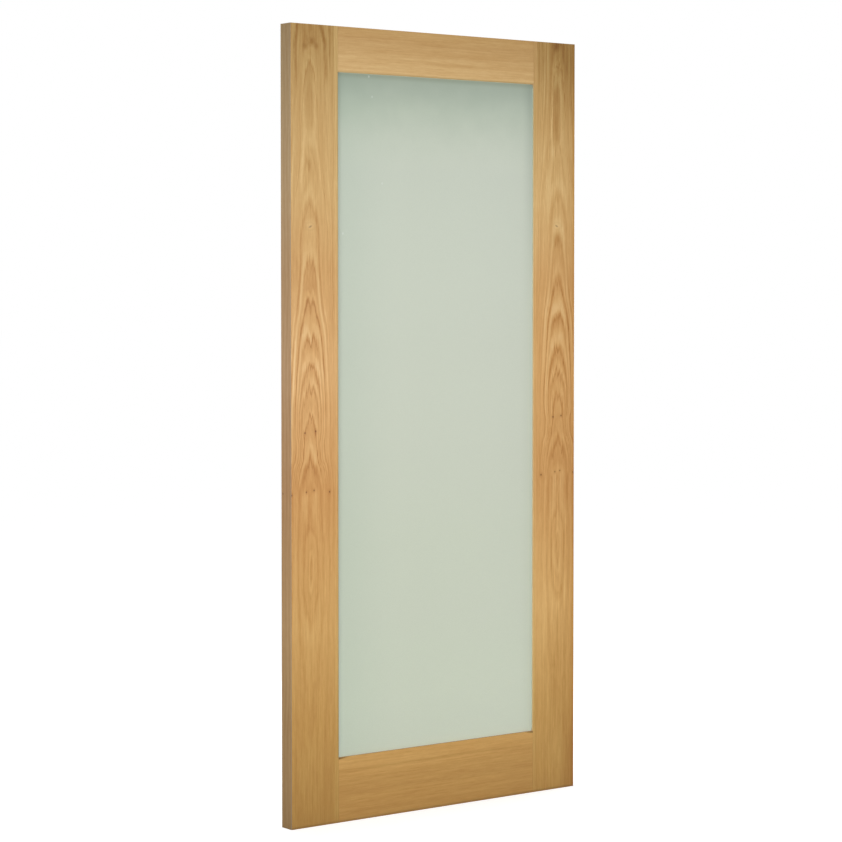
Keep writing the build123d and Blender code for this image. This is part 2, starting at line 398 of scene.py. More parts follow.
# Noises: the size of a bump across and along the grain in millimetres, the detail and the roughness
PORES = (0.6, 12.0, 1.0, 0.4)
PORE_EDGE = (0.14, 0.27)
GRAIN = {
    "broad": (15.0, 460.0, 2.0, 0.5),
    "comb": (2.3, 130.0, 2.0, 0.6),
    "fine": (3.4, 36.0, 3.0, 0.65),
    "hair": (0.8, 18.0, 2.0, 0.7),
}
GRAIN_SHARES = {"broad": 0.30, "comb": 0.40, "fine": 0.44, "hair": 0.24}
SEEDED_ALONG = ("comb", "hair")
DARKNESS_BASE = 0.47
# A growth ring: dark first wood that rises and fades, and a pale line behind it
RING_STRIDE = 5.13
RING_SPREAD = 0.5
DARK_RISE, DARK_FALL = (0.0, 0.6), (1.2, 0.35)
PALE_RISE, PALE_FALL, PALE_END = (0.9, 1.4), (2.5, 1.6), (1.0, 0.8)
DARK_SHARE, PALE_SHARE, STREAK_SHARE = 0.45, 0.26, 0.6
MERGED_DIMMING = 0.3
PORES_IN_RINGS, PORES_BETWEEN = 0.8, 0.25
PORE_SHARE = 0.3
RELIEF = {"fine": 0.3, "hair": 0.35, "bands": 0.4, "pits": 1.2}
RELIEF_DEPTH = 0.0001
LACQUER_ROUGHNESS = 0.48
LACQUER_SHINE = 0.35


def grain_noise(graph, kind, across, along, depth, seed):
    """One of the wood's noises; the seed moves it across the grain or along it."""
    width, length, detail, roughness = GRAIN[kind]
    place_across, place_along = across / width, along / length
    if kind in SEEDED_ALONG:
        place_along = place_along + seed
    else:
        place_across = place_across + seed
    return graph.noise(place_across, place_along, depth / width, detail, roughness)


def pores(graph, across, along, depth, seed):
    """Short open pores: dark dashes along the grain, from 0 to 1."""
    width, length, detail, roughness = PORES
    dashes = graph.noise(across / width + seed, along / length, depth / width, detail, roughness)
    return dashes.smooth(*PORE_EDGE)


def ring_bands(graph, rings, wide, seed, merge=0.0):
    """For each growth ring, its dark first wood and the pale line behind it. wide is the dark's share of the
    ring, and merge is how far every second ring fades."""
    phase = rings.fraction()
    number = graph.math("FLOOR", rings, 0.0)
    kept = (1.0 - (number * 0.5).fraction() * merge * 2.0) * (1.0 - merge * MERGED_DIMMING)
    share = phase / (graph.noise(number * RING_STRIDE + seed, seed, 0.0, 0.0) * RING_SPREAD + wide)
    dark = share.smooth(*DARK_RISE) * share.smooth(*DARK_FALL) * kept
    pale = share.smooth(*PALE_RISE) * share.smooth(*PALE_FALL) * phase.smooth(*PALE_END)
    return dark, pale


def oak(name, grain, seed, layers, tint=None, marks=None, tone_and_shade="rail"):
    """A lacquered oak surface. grain is X or Z; layers gives growth rings as ring_bands takes them."""
    graph = Graph(name)
    x, y, z = graph.place()
    across, along = (x, z) if grain == "Z" else (z, x)
    figure, bands = 0.0, 0.0
    for field, weight, wide, tone, merge in layers(graph, x, y, z):
        dark, pale = ring_bands(graph, field, wide, seed, merge)
        streak = graph.noise(field * 2.3, along / 210.0, y / 10.0 + seed, 2.0, 0.6)
        fading = graph.noise(field * 0.8 + across / 24.0, along / 48.0, seed, 4.0, 0.65) * 2.6 + 0.9
        bands = dark * weight + bands
        lines = (dark * DARK_SHARE - pale * PALE_SHARE) * fading
        figure = (lines + streak * STREAK_SHARE + tone) * weight + figure
    noises = {kind: grain_noise(graph, kind, across, along, y, seed) for kind in GRAIN}
    darkness = figure
    for kind, share in GRAIN_SHARES.items():
        darkness = darkness + noises[kind] * share
    pits = pores(graph, across, along, y, seed) * (bands * PORES_IN_RINGS + PORES_BETWEEN)
    colour = graph.ramp(darkness + DARKNESS_BASE + pits * PORE_SHARE, OAK_STOPS)
    # Painted light and shade from foot to head, together with the wood's own hue shifts
    colour = graph.mix(1.0, colour, graph.ramp(z / LEAF_HEIGHT, TONES_AND_SHADE[tone_and_shade]), "MULTIPLY")
    if marks:
        colour = marks(graph, colour, x, y, z)
    if tint:
        colour = graph.mix(1.0, colour, tint, "MULTIPLY")
    height = noises["fine"] * RELIEF["fine"] + noises["hair"] * RELIEF["hair"]
    height = height - bands * RELIEF["bands"] - pits * RELIEF["pits"]
    rough = noises["hair"] * 0.10 + LACQUER_ROUGHNESS - bands * 0.05
    return graph.surface(colour, rough, graph.bump(height, RELIEF_DEPTH), Specular_IOR_Level=LACQUER_SHINE)


# The sliced veneer's figure. A pair is where an effect starts and where it is full, in millimetres from the
# stile's outer edge or its middle line, or in height.

SHAKE = (12.0, 90.0, 3.0, 0.6)
JAG = (4.5, 16.0, 2.0, 0.6)
FIBRES = (3.6, 170.0, 2.0, 0.6)
STRANDS = (5.5, 150.0, 3.0, 0.6)
SMEAR = (9.0, 16.0, 3.0, 0.6)
SMEAR_SEED = 3.0
SHAKE_REACH, JAG_REACH, FIBRES_REACH = 34.0, 16.0, 62.0
BEND_LENGTH, BEND_REACH = 190.0, 7.0
WAIST_ACROSS, WAIST_KEPT = (60.0, 26.0), 0.25
POINT_ACROSS, POINT_HEIGHTS, POINT_LIFT = (0.0, 11.0), (1060.0, 990.0), 9.0
CREST_ACROSS, CREST_FOOT, CREST_HEAD = (9.0, 0.0), (1140.0, 1200.0), (1420.0, 1340.0)
LOOP_EDGE = (1.1, 0.6)
FOOT_SHAKE = 0.5
PLAIN_ACROSS, PLAIN_HEIGHTS, PLAIN_SHARE = (98.0, 122.0), (1380.0, 1240.0), 0.65
COMBED_ACROSS, COMBED_HEIGHTS, COMBED_SHARE = (18.0, 34.0), (1020.0, 960.0), 0.35
CALM_FOOT, CALM_HEAD = (1500.0, 1700.0), (1950.0, 1850.0)
STEP_SHAKE, STEP_HEIGHTS = 30.0, (822.0, 852.0)
WIDE_ACROSS, WIDE_GAIN, WIDE_LEAST = (8.0, 30.0), 0.26, 0.28
STRAND_HEIGHTS, STRAND_SHARE = (1330.0, 1640.0), 0.85
MERGE_ACROSS, MERGE_SHARE = (15.0, 30.0), 0.85


def veneer_noise(graph, sizes, from_edge, height, seed, shift):
    """One of the veneer's noises, moved across by shift."""
    width, length, detail, roughness = sizes
    return graph.noise(from_edge / width + shift, height / length, seed, detail, roughness)


def head_loop(from_edge, height, side):
    """How far a place is from the middle of the closed figure, 1 on its outline."""
    loop = LOOPS[side]
    out = abs((from_edge - loop["middle"]) / loop["half_width"]).power(LOOP_POWER)
    up = abs((height - loop["level"]) / loop["half_height"]).power(LOOP_POWER)
    return (out + up).power(1.0 / LOOP_POWER)


def arch_rings(graph, off, from_edge, height, side, shake, seed):
    """Ring numbers of the nested arches, off millimetres from the middle line."""
    waist = graph.curve(height - SIDE_SHIFT[side], FLAME_SPREAD) - 1.0
    waist = waist * (off.smooth(*WAIST_ACROSS) * (1.0 - WAIST_KEPT) + WAIST_KEPT)
    fall = graph.curve(off * (waist + 1.0), FLAME_FALL)
    point = off.smooth(*POINT_ACROSS) * height.smooth(*POINT_HEIGHTS) * POINT_LIFT
    jag = veneer_noise(graph, JAG, from_edge, height, seed, seed) * JAG_REACH
    fibres = veneer_noise(graph, FIBRES, from_edge, height, seed, seed) * FIBRES_REACH
    rings = graph.curve(height + fall + point + shake * SHAKE_REACH + jag + fibres, FLAMES[side])
    crest = off.smooth(*CREST_ACROSS) * height.smooth(*CREST_FOOT) * height.smooth(*CREST_HEAD)
    rings = rings + crest * CREST_DIPS[side]
    return rings - head_loop(from_edge, height, side).smooth(*LOOP_EDGE) * LOOPS[side]["lift"]


def flame_layers(graph, from_edge, height, side, seed):
    """Nested arches up the middle of a sliced veneer, over closed ovals at its foot."""
    bend = graph.noise(height / BEND_LENGTH + seed, seed, 0.0, 2.0) * BEND_REACH
    shake = veneer_noise(graph, SHAKE, from_edge, height, seed, seed)
    strands = veneer_noise(graph, STRANDS, from_edge, height, seed, 0.0)
    off = abs(from_edge - FLAME_CENTRE + bend)
    upper = arch_rings(graph, off, from_edge, height, side, shake, seed)
    lower = graph.curve(height, FLAME_FOOT).power(FOOT_POWER) + (off / FOOT_NARROWING).power(FOOT_POWER)
    lower = lower.power(1.0 / FOOT_POWER) + shake * FOOT_SHAKE
    plain = from_edge.smooth(*PLAIN_ACROSS) * height.smooth(*PLAIN_HEIGHTS) * PLAIN_SHARE
    combed = off.smooth(*COMBED_ACROSS) * height.smooth(*COMBED_HEIGHTS) * COMBED_SHARE
    calm = height.smooth(*CALM_FOOT) * height.smooth(*CALM_HEAD) * HEAD_CALM[side]
    weight = graph.curve(height, FLAME_CONTRAST) * (1.0 - plain) * (1.0 - combed) * (1.0 - calm)
    step = (height + shake * STEP_SHAKE).smooth(*STEP_HEIGHTS)
    wide = off.smooth(*WIDE_ACROSS) * WIDE_GAIN + WIDE_LEAST
    tone = strands * height.smooth(*STRAND_HEIGHTS) * STRAND_SHARE * (1.0 - calm)
    tone = graph.curve(upper, RING_TONES) + tone
    merge = off.smooth(*MERGE_ACROSS) * MERGE_SHARE
    return (
        (upper, weight * step, wide, tone, merge),
        (lower, weight * (1.0 - step), wide, strands * FOOT_STRANDS[side], 0.0),
    )


RIM_INNER, RIM_OUTER, RIM_HEIGHTS, RIM_SMEAR = (0.72, 0.95), (1.35, 1.1), (1670.0, 1725.0), 0.35
LOOP_INSIDE = (0.95, 0.3)
VENEER_WIDTH = 142.0
HEAD_SHADE_HEIGHTS = (1740.0, 2000.0)
STROKE_SMEAR, STROKE_FADE = 5.0, 25.0
KNOT_HALO, KNOT_HALO_STRETCH, KNOT_HALO_SHARE, KNOT_STRETCH = 2.6, 1.4, 0.35, 1.1
EYE_WARP, EYE_LEAN = 14.0, 0.4
# Parts of the eye knot: how far above its middle, the radius, the stretch along the grain and the share
LID = (4.0, 24.0, 0.9, 0.5)
RIM = (0.0, 22.0, 0.72, 0.12)
PUPIL = (-1.0, 8.5, 0.5, 0.5)
PUPIL_ASIDE, PUPIL_WARP = 1.0, 0.2


def eye_knot(graph, colour, from_edge, height, side, smear):
    """A small closed knot with a pale lid, a soft rim and a dark slit."""
    across, along = EYE_KNOTS[side]
    warp = smear * EYE_WARP
    above, radius, stretch, share = LID
    lid = dot(from_edge + warp, height, (across, along + above), radius, stretch) * share
    colour = graph.mix(lid, colour, LID_PALE)
    above, radius, stretch, share = RIM
    rim = dot(from_edge + warp, height, (across, along + above), radius, stretch)
    colour = graph.stain(rim.smooth(0.0, 0.35) * rim.smooth(0.72, 0.4) * share, colour, STAIN)
    above, radius, stretch, share = PUPIL
    leaning = height - (from_edge - across) * EYE_LEAN
    place = (across + PUPIL_ASIDE, along + above)
    pupil = dot(from_edge + warp * PUPIL_WARP, leaning, place, radius, stretch)
    return graph.stain(pupil.smooth(0.0, 0.9) * share, colour, KNOT_TINT)


def flame_marks(graph, colour, from_edge, height, side):
    """The pin knots, the eye, the strokes and the smudges of the sliced veneer."""
    smear = veneer_noise(graph, SMEAR, from_edge, height, SMEAR_SEED, 0.0)
    loop = head_loop(from_edge, height, side) + smear * RIM_SMEAR
    outline = loop.smooth(*RIM_INNER) * loop.smooth(*RIM_OUTER) * height.smooth(*RIM_HEIGHTS)
    colour = graph.stain(outline * LOOPS[side]["pale"], colour, BLEACH)
    colour = graph.stain(loop.smooth(*LOOP_INSIDE) * LOOPS[side]["dark"], colour, STAIN)
    # Painted shade toward the head, partly the wood's own olive tone; on the lock stile it is darker toward
    # the outer edge
    lean = HEAD_LEAN[side]
    across = from_edge.smooth(VENEER_WIDTH, 0.0) * lean + (1.0 - lean / 2)
    colour = graph.stain(height.smooth(*HEAD_SHADE_HEIGHTS) * HEAD_SHADES[side] * across, colour, HEAD_SHADE_TINT)
    for across, along, radius, stretch, share in SMUDGES[side]:
        cloud = dot(from_edge, height, (across, along), radius, stretch) * (smear * 1.4 + 0.8)
        colour = graph.stain(cloud * share, colour, STAIN)
    for foot, head, low, high, reach, share in HEAD_STROKES[side]:
        aside = from_edge - (height.smooth(low, high) * (head - foot) + foot) + smear * STROKE_SMEAR
        stroke = abs(aside).smooth(reach, 0.0) * height.smooth(low - STROKE_FADE, low + STROKE_FADE)
        stroke = stroke * height.smooth(high + STROKE_FADE, high - STROKE_FADE) * (smear * 1.2 + 0.9)
        colour = graph.stain(stroke * abs(share), colour, STAIN if share > 0.0 else BLEACH)
    for across, along, radius in FACE_KNOTS[side]:
        halo = dot(from_edge, height, (across, along), radius * KNOT_HALO, KNOT_HALO_STRETCH)
        core = dot(from_edge, height, (across, along), radius, KNOT_STRETCH)
        colour = graph.stain(halo * KNOT_HALO_SHARE, colour, STAIN)
        colour = graph.stain(core, colour, KNOT_TINT)
    return eye_knot(graph, colour, from_edge, height, side, smear)


# Marks along the members. A pair is again where an effect starts and where it is full.

BAND_TINT = (0.86, 0.70, 0.34, 1.0)
BANDS = {"hinge": (4.6, 0.3), "lock": (14.0, 0.65)}
BAND_FULL = 1.2
LOW_BAND_HEIGHTS, LOW_BAND_SHARE = (420.0, 60.0), 0.85
OUTER_REACH, OUTER_SHARE = (50.0, 5.0), 0.14
LOW_OUTER_REACH, LOW_OUTER_HEIGHTS, LOW_OUTER_SHARE = (75.0, 5.0), (330.0, 60.0), 0.3
INNER_REACH, INNER_SHARE = (72.0, 104.0), 0.2
# Colours of the painted shade in the light's lower corners, along the top rail's lower corner and on the
# hinge border, and of the painted highlight on the lock border's turned face
CORNER_SHADE = srgb(92, 64, 28)
RIM_SHADE = srgb(150, 122, 76)
REVEAL_HIGHLIGHT = srgb(246, 222, 178)
# Painted shade toward the leaf's foot: its colour, a dark line along the very foot and a faint haze above it
FOOT_SHADE = srgb(112, 78, 40)
FOOT_LINE, FOOT_LINE_SHARE = (9.0, 1.0), 0.42
FOOT_HAZE, FOOT_HAZE_SHARE = (60.0, 0.0), 0.05
RAIL_LINES = ((129.0, 7.0, 0.2), (73.0, 9.0, 0.12))
RAIL_DRIFT_LENGTH, RAIL_DRIFT_SEED, RAIL_DRIFT_REACH = 260.0, 4.4, 16.0
# Painted shade along the top rail's lower corner and in the light's lower corners
HEAD_RIM, HEAD_RIM_SHARE = (6.0, 0.0), 0.45
WEDGE_SLOPE, WEDGE_HEIGHT, WEDGE_SHARE = 0.16, (6.5, 2.0), 0.8
LIGHT_ENDS = 2.0
# Painted shadow line on the hinge border beside the glass
BORDER_LINE, BORDER_LINE_SHARE = (4.0, 0.5), 0.55
BORDER_SPAN = 9.0
LOCK_HEAD_HEIGHTS, LOCK_HEAD_SHARE = (1860.0, 1925.0), 0.15
PALE_FOOT, PALE_HEAD, PALE_BORDER, PALE_LOCK_BORDER = (1220.0, 1300.0), (1885.0, 1850.0), 0.07, 0.06
# Painted highlight on the lock border's face that turns in to the glass
TURNED_IN, TURNED_SHARE = (-0.5, -0.9), 0.45


def from_sides(graph, x):
    """How far a place is from the nearer side of the light."""
    return graph.math("MINIMUM", x - SIGHT_LEFT, SIGHT_RIGHT - x)


def shaded_foot(graph, colour, z):
    """Painted shade: the leaf darkens toward its foot, most along the very foot."""
    shade_field = z.smooth(*FOOT_LINE) * FOOT_LINE_SHARE + z.smooth(*FOOT_HAZE) * FOOT_HAZE_SHARE
    return graph.mix(shade_field, colour, FOOT_SHADE)


def rail_marks(graph, colour, x, y, z):
    """The bottom rail's darker lines, painted shade on the top rail's lower corner and painted shade in the
    light's lower corners."""
    drift = graph.noise(x / RAIL_DRIFT_LENGTH, RAIL_DRIFT_SEED, 0.0, 2.0) * RAIL_DRIFT_REACH
    for level, reach, share in RAIL_LINES:
        colour = graph.stain(abs(z - level + drift).smooth(reach, 0.0) * share, colour, STAIN)
    # Painted shade along the top rail's lower corner
    colour = graph.mix(abs(z - SIGHT_HEAD).smooth(*HEAD_RIM) * HEAD_RIM_SHARE, colour, RIM_SHADE)
    # Painted shade in the light's lower corners
    wedge = (abs(z - SIGHT_FOOT) + from_sides(graph, x) * WEDGE_SLOPE).smooth(*WEDGE_HEIGHT)
    colour = graph.mix(wedge * WEDGE_SHARE, colour, CORNER_SHADE)
    return shaded_foot(graph, colour, z)


def border_marks(graph, colour, x, y, z):
    """A thin line of painted shadow on the hinge border beside the glass, and the lock border's tones and a
    painted highlight on its face that turns in to the glass."""
    beside = z.smooth(SIGHT_FOOT - LIGHT_ENDS, SIGHT_FOOT) * z.smooth(SIGHT_HEAD + LIGHT_ENDS, SIGHT_HEAD)
    # Painted shadow line beside the glass on the hinge border
    line = abs(x - SIGHT_LEFT).smooth(*BORDER_LINE) * beside * BORDER_LINE_SHARE
    colour = graph.mix(line, colour, RIM_SHADE)
    on_lock = x.smooth(SIGHT_LEFT + BORDER_SPAN, SIGHT_RIGHT - BORDER_SPAN)
    colour = graph.stain(z.smooth(*LOCK_HEAD_HEIGHTS) * on_lock * LOCK_HEAD_SHARE, colour, STAIN)
    pale = z.smooth(*PALE_FOOT) * z.smooth(*PALE_HEAD) * (on_lock * PALE_LOCK_BORDER + PALE_BORDER)
    colour = graph.stain(pale, colour, BLEACH)
    # Painted highlight on the lock border's face that turns in to the glass
    turned = graph.facing()[0].smooth(*TURNED_IN) * on_lock
    colour = graph.mix(turned * beside * TURNED_SHARE, colour, REVEAL_HIGHLIGHT)
    return shaded_foot(graph, colour, z)


def lock_tones(graph, colour, from_edge, height):
    """The lock stile is darker along its outer half, most of all low down, and paler beside its border."""
    outer = from_edge.smooth(*OUTER_REACH) * OUTER_SHARE
    low = from_edge.smooth(*LOW_OUTER_REACH) * height.smooth(*LOW_OUTER_HEIGHTS) * LOW_OUTER_SHARE
    colour = graph.stain(outer + low, colour, STAIN)
    band = from_edge.smooth(BANDS["lock"][0], BAND_FULL) * height.smooth(*LOW_BAND_HEIGHTS) * LOW_BAND_SHARE
    colour = graph.stain(band, colour, BAND_TINT)
    return graph.stain(from_edge.smooth(*INNER_REACH) * INNER_SHARE, colour, BLEACH)


def stile_face(name, side, seed, upside_down=False):
    """Material of a stile's veneer. side says which flame it carries."""

    def measured(x, z):
        from_edge = x if side == "hinge" else LEAF_WIDTH - x
        height = LEAF_HEIGHT - z if upside_down else z
        return from_edge, height

    def layers(graph, x, y, z):
        return flame_layers(graph, *measured(x, z), side, seed)

    def marks(graph, colour, x, y, z):
        from_edge, height = measured(x, z)
        colour = flame_marks(graph, colour, from_edge, height, side)
        reach, share = BANDS[side]
        colour = graph.stain(from_edge.smooth(reach, BAND_FULL) * share, colour, BAND_TINT)
        if side == "lock":
            colour = lock_tones(graph, colour, from_edge, height)
        return shaded_foot(graph, colour, z)

    return oak(name, "Z", seed, layers, marks=marks, tone_and_shade=side)


# Straight grain: the slow wave along it, and the depth of a ring through the wood as a share of its pitch

WANDER = (90.0, 420.0, 2.4)
RIPPLE = (16.0, 110.0)
RING_DEPTH = 1.7
STRAIGHT_WIDE = 0.42
RAIL_SLOPE_SHARE, RAIL_WEIGHT, SOFT_RIPPLE = 0.2, 0.08, 0.2
LEVEL_SLOPE_SHARE = 0.15
STREAKS = (8.0, 900.0, 0.5, 2.4)
THREADS = (2.6, 240.0, 0.6, 1.5)


def straight_rings(pitch, slope, seed, grain, weight, wave=SOFT_RIPPLE):
    """Nearly straight growth rings, with a slow wave along the grain."""

    def layers(graph, x, y, z):
        across, along = (x, z) if grain == "Z" else (z, x)
        wander = graph.noise(across / WANDER[0] + seed, along / WANDER[1], seed, 2.0) * WANDER[2]
        ripple = graph.noise(across / RIPPLE[0] + seed, along / RIPPLE[1], seed, 2.0) * wave
        rings = across / pitch + along * slope + y / (pitch * RING_DEPTH) + wander + ripple
        return ((rings, weight, STRAIGHT_WIDE, 0.0, 0.0),)

    return layers


def soft_streaks(pitch, slope, seed):
    """A rail's plain grain: faint rings and soft streaks of uneven width along the rail."""
    ringed = straight_rings(pitch, slope * RAIL_SLOPE_SHARE, seed, "X", RAIL_WEIGHT)

    def layers(graph, x, y, z):
        ((field, weight, wide, _, _),) = ringed(graph, x, y, z)
        level = z + x * slope * pitch * LEVEL_SLOPE_SHARE
        width, length, roughness, reach = STREAKS
        streaks = graph.noise(level / width + seed, x / length, seed, 2.0, roughness) * reach
        width, length, roughness, reach = THREADS
        threads = graph.noise(level / width, x / length + seed, seed, 2.0, roughness) * reach
        return ((field, weight, wide, streaks + threads, 0.0),)

    return layers


# Glass

GLASS_PALE = srgb(222, 227, 213)
GLASS_DEEP = srgb(172, 186, 170)
# Colours of the painted shade rim beside the wood and of the painted shadow line under the head
GLASS_RIM_SHADE = srgb(168, 196, 186)
GLASS_HEAD_SHADOW = srgb(140, 152, 130)
# Painted light and shade on the pane from foot to head, as shares of the leaf's height
GLASS_SHADING = (
    (0.0, (1.28, 1.31, 1.26, 1.0)), (0.09, (1.27, 1.30, 1.25, 1.0)), (0.15, (1.24, 1.27, 1.21, 1.0)),
    (0.20, (1.19, 1.22, 1.16, 1.0)), (0.25, (1.15, 1.17, 1.12, 1.0)), (0.35, (1.08, 1.10, 1.05, 1.0)),
    (0.46, (1.03, 1.04, 1.01, 1.0)), (0.60, (1.0, 1.01, 0.99, 1.0)), (0.82, (1.02, 1.04, 1.03, 1.0)),
    (0.90, (1.13, 1.15, 1.12, 1.0)), (0.95, (1.06, 1.06, 1.06, 1.0)),
)
GLASS_GRAIN, GLASS_CLOUD = 1.1, 60.0
# Painted shade toward the pane's head: how far a cloud noise moves its edge, and where it starts and is full
CLOUD_REACH = 50.0
HEAD_SHADE_REACH = (240.0, -60.0)
# Painted shade toward the hinge side of the pane and painted light toward the lock side
NEAR_TINT, NEAR_REACH = (0.90, 0.93, 0.92, 1.0), (200.0, -40.0)
FAR_TINT, FAR_REACH, FAR_END = (1.05, 1.045, 1.055, 1.0), (200.0, 600.0), (2.0, 45.0)
SHADE_TINT, SHADE_REACH, SHADE_HEIGHTS = (0.78, 0.80, 0.82, 1.0), (38.0, 0.0), (1200.0, 1800.0)
SHADE_SHARE = 0.65
LIT_TINT, LIT_REACH, LIT_HEIGHTS = (1.07, 1.08, 1.12, 1.0), (26.0, 0.0), (900.0, 250.0)
# Painted shade in a rim beside the wood, and a painted shadow line under the head
EDGE_REACH, EDGE_SHARE = (12.0, 1.0), 0.18
HEAD_LINE, HEAD_LINE_SHARE = (16.0, 2.0), 0.45
GLASS_GRAIN_SHARE, GLASS_GRAIN_BASE = 0.3, 0.12
# Distance from the hinge edge, height and radius of the small pale specks in the glass
GLASS_SPECKS = (
    (240.0, 1862.0, 2.4), (489.0, 1872.0, 1.8), (573.0, 1875.0, 2.4), (250.0, 1812.0, 2.2),
    (281.0, 1597.0, 2.4), (160.0, 1470.0, 2.6),
)
SPECK_PALE = (0.9, 0.95, 0.9, 1.0)
SPECK_GROWTH, SPECK_STRETCH, SPECK_SHARE = 1.6, 1.3, 0.5
GLASS_RELIEF = 0.00008


def frosted_glass():
    """Etched glass: a fine even grain, with painted shade in a cool rim near the wood, at a darker head and
    in a line under it, and painted light and shade up and across the pane.
    """
    graph = Graph("frosted_glass")
    x, y, z = graph.place()
    grain = graph.noise(x / GLASS_GRAIN, y / GLASS_GRAIN, z / GLASS_GRAIN, 2.0, 0.6)
    cloud = graph.noise(x / GLASS_CLOUD, y / GLASS_CLOUD, z / GLASS_CLOUD, 2.0)
    from_head, from_left, from_right = SIGHT_HEAD - z, x - SIGHT_LEFT, SIGHT_RIGHT - x
    # Painted shade: the pane darkens toward its head
    head_shade = (from_head + cloud * CLOUD_REACH).smooth(*HEAD_SHADE_REACH)
    colour = graph.mix(head_shade, GLASS_PALE, GLASS_DEEP)
    # Painted light and shade up the pane's height
    colour = graph.mix(1.0, colour, graph.ramp(z / LEAF_HEIGHT, GLASS_SHADING), "MULTIPLY")
    # Painted shade toward the hinge side and painted light toward the lock side
    colour = graph.stain(from_left.smooth(*NEAR_REACH), colour, NEAR_TINT)
    colour = graph.stain(from_left.smooth(*FAR_REACH) * from_right.smooth(*FAR_END), colour, FAR_TINT)
    shade = from_right.smooth(*SHADE_REACH) * z.smooth(*SHADE_HEIGHTS) * SHADE_SHARE
    colour = graph.stain(shade, colour, SHADE_TINT)
    colour = graph.stain(from_left.smooth(*LIT_REACH) * z.smooth(*LIT_HEIGHTS), colour, LIT_TINT)
    # Painted shade: a cool darker rim beside the wood
    colour = graph.mix(from_sides(graph, x).smooth(*EDGE_REACH) * EDGE_SHARE, colour, GLASS_RIM_SHADE)
    # Painted shadow: a dark line under the head
    colour = graph.mix(from_head.smooth(*HEAD_LINE) * HEAD_LINE_SHARE, colour, GLASS_HEAD_SHADOW)
    colour = graph.mix(grain * GLASS_GRAIN_SHARE + GLASS_GRAIN_BASE, colour, GLASS_DEEP)
    for across, along, radius in GLASS_SPECKS:
        speck = dot(x, z, (across, along), radius * SPECK_GROWTH, SPECK_STRETCH)
        colour = graph.mix(speck * SPECK_SHARE, colour, SPECK_PALE)
    normal = graph.bump(grain, GLASS_RELIEF)
    return graph.surface(
        colour, 0.8, normal, Transmission_Weight=0.12, IOR=1.5, Specular_IOR_Level=0.3
    )


# Edge, core, tape and hidden pieces

# Painted shade: a greyer, cooler tint for the narrow edge turned from the lamps
EDGE_SHADE_TINT = (0.86, 0.93, 1.22, 1.0)
BORDER_TINTS = {"hinge": (1.05, 1.12, 1.17, 1.0), "lock": (1.045, 1.09, 1.155, 1.0)}
ARRIS_COLOURS = {"hinge": srgb(176, 152, 114), "lock": srgb(160, 116, 58)}
# The corner lines: a painted pale highlight on the hinge edge, a dark line on the lock edge
ARRIS_REACH, ARRIS_SHARE = (2.6, 1.6), 0.8
# The hinge edge's one knot: its place through the thickness and in height, its radius and its stretch
EDGE_KNOT = (14.0, 828.0, 3.4, 1.2)


def edge_oak(side, seed):
    """A stile's narrow edge: greyer and darker with painted shade, and a line along both corners: a painted
    pale highlight on the hinge edge and a dark line on the lock edge.
    """

    def marks(graph, colour, x, y, z):
        from_edge = x if side == "hinge" else LEAF_WIDTH - x
        if side == "hinge":
            through, height, radius, stretch = EDGE_KNOT
            colour = graph.stain(dot(y, z, (through, height), radius, stretch), colour, KNOT_TINT)
        from_corner = from_edge + (HALF_THICKNESS - abs(y))
        # Painted highlight along the hinge edge's corners, a dark line along the lock edge's
        return graph.mix(from_corner.smooth(*ARRIS_REACH) * ARRIS_SHARE, colour, ARRIS_COLOURS[side])

    layers = straight_rings(9.0, 0.0004, seed, "Z", 0.3)
    return oak(side + "_edge_oak", "Z", seed, layers, EDGE_SHADE_TINT, marks, "edge")


CORE_STRIP = 28.0
CORE_BEND, CORE_BEND_LENGTH, CORE_BEND_REACH = 20.0, 400.0, 3.0
CORE_RING, CORE_RING_DEPTH = 5.0, 4.0
CORE_FIBRE, CORE_FIBRE_LENGTH = 1.2, 60.0
CORE_STOPS = ((0.0, srgb(226, 200, 156)), (0.5, srgb(208, 175, 125)), (1.0, srgb(170, 130, 84)))
GLUE_LINE = srgb(120, 84, 48)
GLUE_REACH, GLUE_SHARE = (0.482, 0.497), 0.6


def laminated_core(name, grain):
    """Glued strips of pale timber, each with its own tone and ring direction. grain is X or Z."""
    graph = Graph(name)
    x, y, z = graph.place()
    across, along = (graph.math("MINIMUM", x, LEAF_WIDTH - x), z) if grain == "Z" else (z, x)
    index = graph.math("FLOOR", across / CORE_STRIP, 0.0)
    tone = graph.noise(index * 7.3, 1.7, 0.0, 0.0)
    bend = graph.noise(across / CORE_BEND, y / CORE_BEND, along / CORE_BEND_LENGTH) * CORE_BEND_REACH
    rings = across / CORE_RING + index * 3.7 + (y / CORE_RING_DEPTH) * (tone * 3.0) + bend
    band, _ = ring_bands(graph, rings, 0.4, 3.0)
    seam = abs((across / CORE_STRIP).fraction() - 0.5).smooth(*GLUE_REACH)
    fine = graph.noise(across / CORE_FIBRE, y / CORE_FIBRE, along / CORE_FIBRE_LENGTH, 3.0, 0.6)
    colour = graph.ramp(band * 0.5 + fine * 0.5 + tone * 0.7 + 0.3, CORE_STOPS)
    colour = graph.mix(seam * GLUE_SHARE, colour, GLUE_LINE)
    normal = graph.bump(fine - band * 0.4, 0.0002)
    return graph.surface(colour, fine * 0.1 + 0.7, normal, Specular_IOR_Level=0.2)


MOTTLE_SIZE, MOTTLE_GRAIN, MOTTLE_RELIEF = 6.0, 0.8, 0.0001


